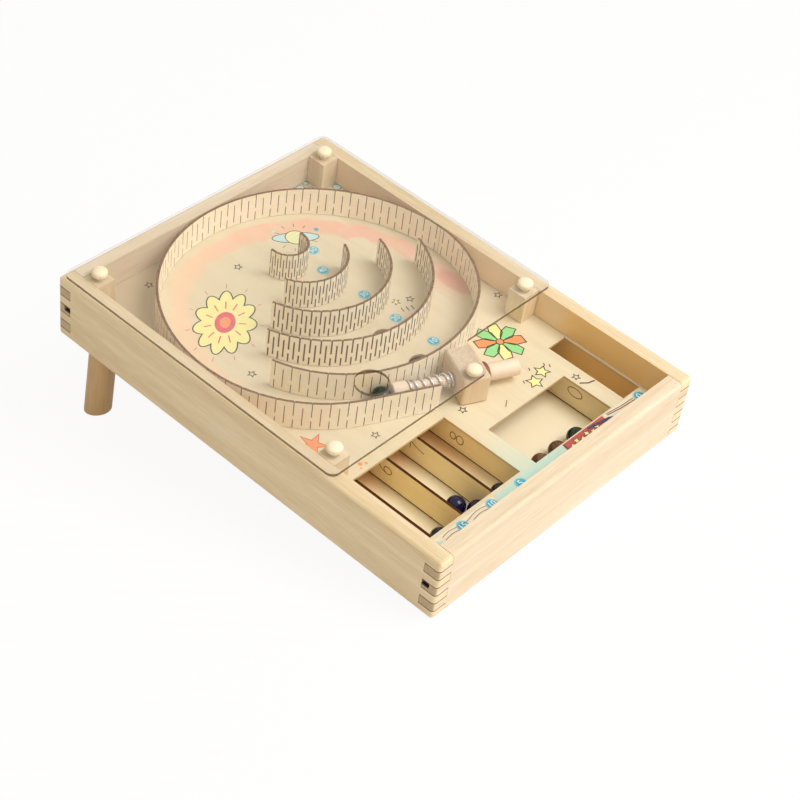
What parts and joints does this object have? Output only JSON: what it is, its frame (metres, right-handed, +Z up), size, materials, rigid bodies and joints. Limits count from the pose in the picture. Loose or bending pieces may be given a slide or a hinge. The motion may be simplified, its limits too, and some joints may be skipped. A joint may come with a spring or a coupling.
{
  "type": "marble maze puzzle",
  "caption": "Tabletop wooden marble maze: a tipped finger-jointed box with a clear pegged cover, slit-bent track walls, pockets with drop holes, a sprung plunger, score trays and glass marbles.",
  "frame": {"origin": "middle of the bounding box's footprint, on the table", "axes": "+Z up, +Y from the low front end to the raised back end, +X to the right seen from the front"},
  "size_m": [0.26, 0.3562, 0.1232],
  "materials": {
    "beech": "pale satin wood",
    "ply": "pale ply, darkened on cut edges",
    "birch": "turned, unstained",
    "clear_acrylic": "clear, polished",
    "spring_steel": "bright drawn wire",
    "brown_rubber": "dull dark red-brown",
    "blue_glass": "glossy deep blue",
    "dark_glass": "glossy near black",
    "brown_glass": "glossy brown",
    "green_glass": "glossy dark green"
  },
  "bodies": {
    "frame": {"rail_left": "beech", "rail_right": "beech", "rail_front": "beech", "rail_back": "beech", "bottom_panel": "ply", "playfield": "ply", "tray_stop": "ply", "tray_wall_1": "ply", "tray_wall_2": "ply", "tray_wall_3": "ply", "tray_wall_4": "ply", "tray_wall_5": "ply", "track_wall_ring": "ply", "track_wall_inner": "ply", "track_wall_outer": "ply", "pocket_wall_1": "ply", "pocket_wall_2": "ply", "pocket_wall_3": "ply", "pocket_wall_4": "ply", "post_back_left": "beech", "post_back_right": "beech", "post_front_left": "beech", "post_front_right": "beech", "peg_back_left": "birch", "peg_back_right": "birch", "peg_front_left": "birch", "peg_front_right": "birch", "peg_plunger_block": "birch", "cover": "clear_acrylic", "plunger_block": "beech", "plunger_spring": "spring_steel", "leg_left": "beech", "leg_right": "beech"},
    "plunger": {"plunger_rod": "birch", "plunger_handle": "birch", "plunger_bumper": "brown_rubber"},
    "marble_channel_1": {"marble_channel_1": "dark_glass"},
    "marble_channel_2_front": {"marble_channel_2_front": "blue_glass"},
    "marble_channel_2_back": {"marble_channel_2_back": "blue_glass"},
    "marble_channel_3": {"marble_channel_3": "dark_glass"},
    "marble_tray_1": {"marble_tray_1": "brown_glass"},
    "marble_tray_2": {"marble_tray_2": "brown_glass"},
    "marble_tray_3": {"marble_tray_3": "green_glass"},
    "marble_lane": {"marble_lane": "green_glass"}
  },
  "joints": [
    {"name": "plunger_pull", "type": "slide", "parent": "frame", "child": "plunger", "axis": [0.9078, -0.4115, -0.0815], "range_m": [0, 0.018], "stiffness_N_per_m": 200, "springref_m": -0.008, "deforming": ["plunger_spring"]},
    {"name": "marble_channel_1_roll", "type": "slide", "parent": "frame", "child": "marble_channel_1", "axis": [0, 0.981, 0.1942], "range_m": [0, 0.06]},
    {"name": "marble_channel_2_front_roll", "type": "slide", "parent": "frame", "child": "marble_channel_2_front", "axis": [0, 0.981, 0.1942], "range_m": [0, 0.045]},
    {"name": "marble_channel_2_back_roll", "type": "slide", "parent": "frame", "child": "marble_channel_2_back", "axis": [0, 0.981, 0.1942], "range_m": [0, 0.045]},
    {"name": "marble_channel_3_roll", "type": "slide", "parent": "frame", "child": "marble_channel_3", "axis": [0, 0.981, 0.1942], "range_m": [0, 0.06]},
    {"name": "marble_tray_1_roll", "type": "slide", "parent": "frame", "child": "marble_tray_1", "axis": [0, 0.981, 0.1942], "range_m": [0, 0.06]},
    {"name": "marble_tray_2_roll", "type": "slide", "parent": "frame", "child": "marble_tray_2", "axis": [0, 0.981, 0.1942], "range_m": [0, 0.06]},
    {"name": "marble_tray_3_roll", "type": "slide", "parent": "frame", "child": "marble_tray_3", "axis": [0, 0.981, 0.1942], "range_m": [0, 0.06]},
    {"name": "marble_lane_roll", "type": "slide", "parent": "frame", "child": "marble_lane", "axis": [-0.9078, 0.4115, 0.0815], "range_m": [0, 0.02]}
  ],
  "couplings": [
    {"joint": "marble_channel_2_back_roll", "follows": "marble_channel_2_front_roll", "ratio": 1}
  ]
}
